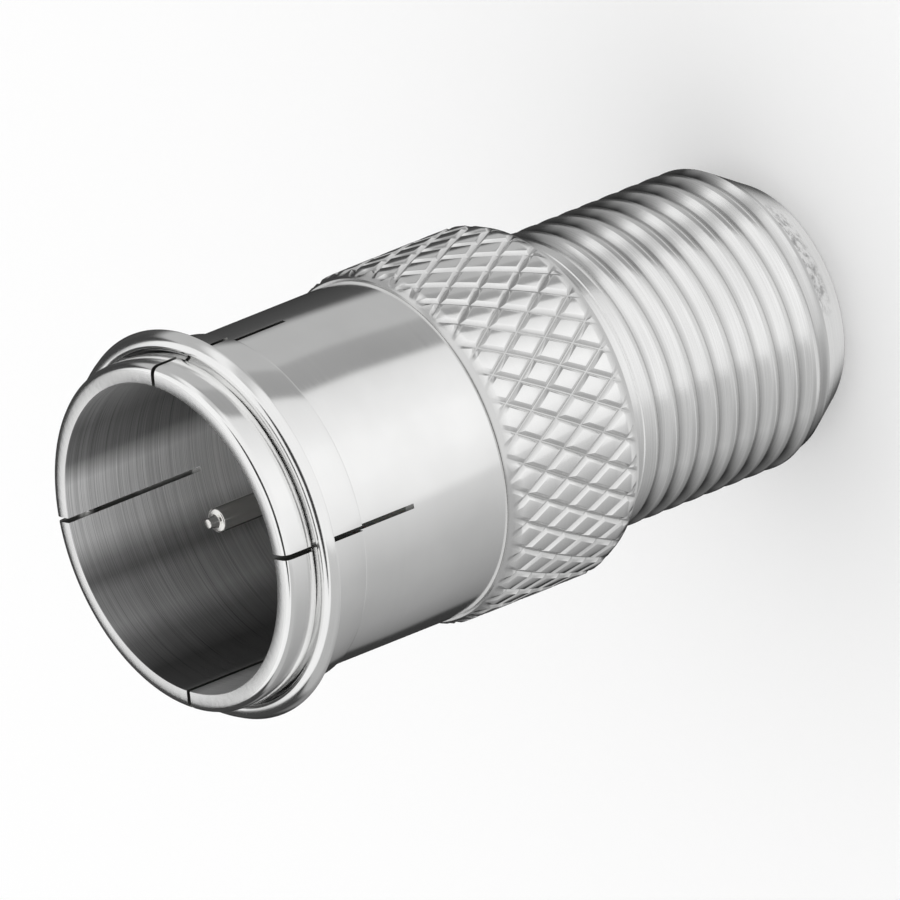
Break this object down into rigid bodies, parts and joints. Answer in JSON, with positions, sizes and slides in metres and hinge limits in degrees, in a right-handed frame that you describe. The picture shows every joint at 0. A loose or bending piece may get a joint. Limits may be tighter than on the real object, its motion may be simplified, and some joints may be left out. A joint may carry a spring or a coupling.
{
  "type": "coaxial adapter",
  "caption": "Round metal coaxial adapter: a push-on plug with a slotted spring sleeve and a centre pin at one end, a threaded jack at the other, and a knurled hub between.",
  "frame": {"origin": "centre of the jack's end face, which is the lowest point of the part", "axes": "+Z along the adapter's axis, from the threaded jack up to the mouth of the push-on plug"},
  "size_m": [0.0122, 0.0122, 0.0234],
  "materials": {
    "nickel_plate": "bright nickel plate",
    "contact_plate": "bright plate on spring metal",
    "white_insulator": "satin natural plastic"
  },
  "bodies": {
    "root": {"hub_body": "nickel_plate", "slotted_sleeve": "nickel_plate", "spring_ring": "nickel_plate", "centre_pin": "contact_plate", "socket_contact": "contact_plate", "front_insulator": "white_insulator", "rear_insulator": "white_insulator"}
  },
  "joints": []
}
